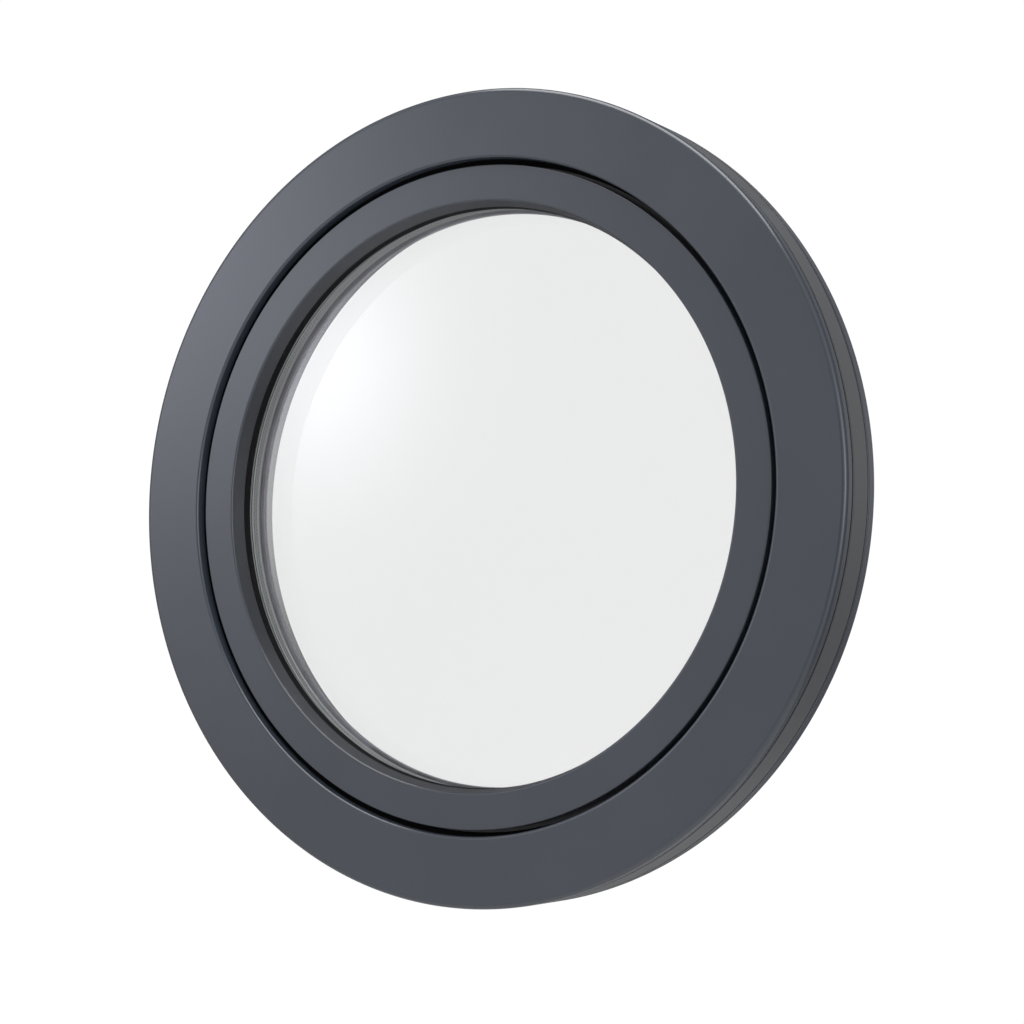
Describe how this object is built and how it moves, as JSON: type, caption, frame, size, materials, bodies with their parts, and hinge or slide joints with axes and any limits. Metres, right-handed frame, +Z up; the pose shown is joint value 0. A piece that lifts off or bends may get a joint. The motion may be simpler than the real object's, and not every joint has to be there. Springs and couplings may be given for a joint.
{
  "type": "porthole window",
  "caption": "Round opening window: a ring frame with a side-hung inward sash, double glazing, seals, two hinges and a turn-latch handle.",
  "frame": {"origin": "on the window's axis, in the plane of the frame ring's indoor face, where the wall brackets are bolted", "axes": "+X to the right seen from outdoors, +Y from outdoors to indoors, +Z up"},
  "size_m": [0.7999, 0.1183, 0.8],
  "materials": {
    "coated_aluminium": "fine satin powder coat, anthracite grey",
    "insulating_core": "matt grey moulding, slightly warmer than the coated metal",
    "seal_rubber": "matt black extruded rubber",
    "steel": "zinc-plated and brushed",
    "clear_glass": "clear float glass",
    "spacer_metal": "mill-finished, perforated towards the cavity",
    "block_plastic": "blue moulded plastic"
  },
  "bodies": {
    "frame": {"frame_outdoor_shell": "coated_aluminium", "frame_joint_gasket": "seal_rubber", "frame_core": "insulating_core", "frame_indoor_shell": "coated_aluminium", "centre_seal": "seal_rubber", "fixing_inserts": "steel", "upper_frame_leaf": "coated_aluminium", "lower_frame_leaf": "coated_aluminium", "upper_hinge_pin": "steel", "lower_hinge_pin": "steel", "frame_leaf_screws": "steel", "latch_keeper": "coated_aluminium", "keeper_screws": "steel"},
    "sash": {"sash_outdoor_shell": "coated_aluminium", "sash_core": "insulating_core", "sash_indoor_shell": "coated_aluminium", "glazing_bead": "coated_aluminium", "outdoor_glass_gasket": "seal_rubber", "indoor_glass_gasket": "seal_rubber", "flange_seal": "seal_rubber", "outdoor_pane": "clear_glass", "indoor_pane": "clear_glass", "spacer_bar": "spacer_metal", "edge_seal": "seal_rubber", "setting_blocks": "block_plastic", "upper_sash_leaf": "coated_aluminium", "lower_sash_leaf": "coated_aluminium", "sash_leaf_screws": "steel", "handle_base": "coated_aluminium", "handle_base_screws": "steel"},
    "handle": {"handle_lever": "coated_aluminium", "latch_tongue": "steel", "handle_spindle": "steel", "spindle_collar": "steel"}
  },
  "joints": [
    {"name": "sash_hinge", "type": "hinge", "parent": "frame", "child": "sash", "pos_m": [-0.362, 0.025, 0], "axis": [0, 0, 1], "range_deg": [0, 90]},
    {"name": "handle_turn", "type": "hinge", "parent": "sash", "child": "handle", "pos_m": [0.328, 0.021, 0], "axis": [0, 1, 0], "range_deg": [0, 90]}
  ]
}
